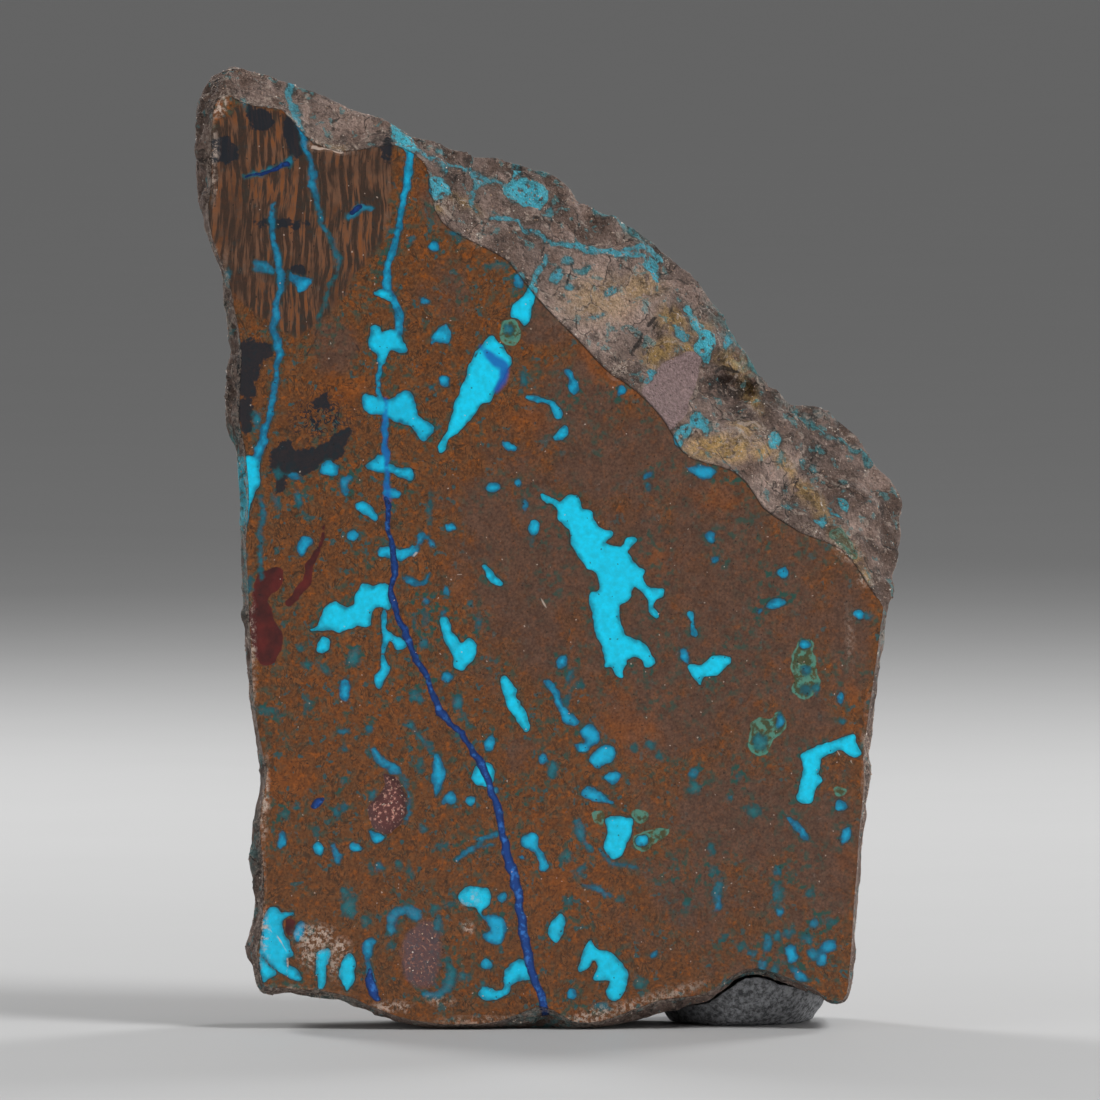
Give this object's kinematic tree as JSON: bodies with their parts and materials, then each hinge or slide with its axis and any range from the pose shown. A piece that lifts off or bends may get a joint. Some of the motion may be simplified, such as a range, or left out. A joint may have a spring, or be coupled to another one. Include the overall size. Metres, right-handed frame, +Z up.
{
  "type": "polished chrysocolla slab",
  "caption": "Upright stone slab with a flat polished front, a broken sloping upper right corner and a sawn back, propped by a small rounded grey lump.",
  "frame": {"origin": "centre of the bottom of the bounding box, on the surface that the slab and the lump stand on", "axes": "+Z up along the slab's height, polished face towards -Y, +X to the right as the polished face is seen"},
  "size_m": [0.0958, 0.0344, 0.13],
  "materials": {
    "chrysocolla_in_brown_matrix": "polished face, broken rind, sawn back",
    "grey_putty": "matt, finely speckled"
  },
  "bodies": {
    "root": {"slab": "chrysocolla_in_brown_matrix", "grey_prop_lump": "grey_putty"}
  },
  "joints": []
}
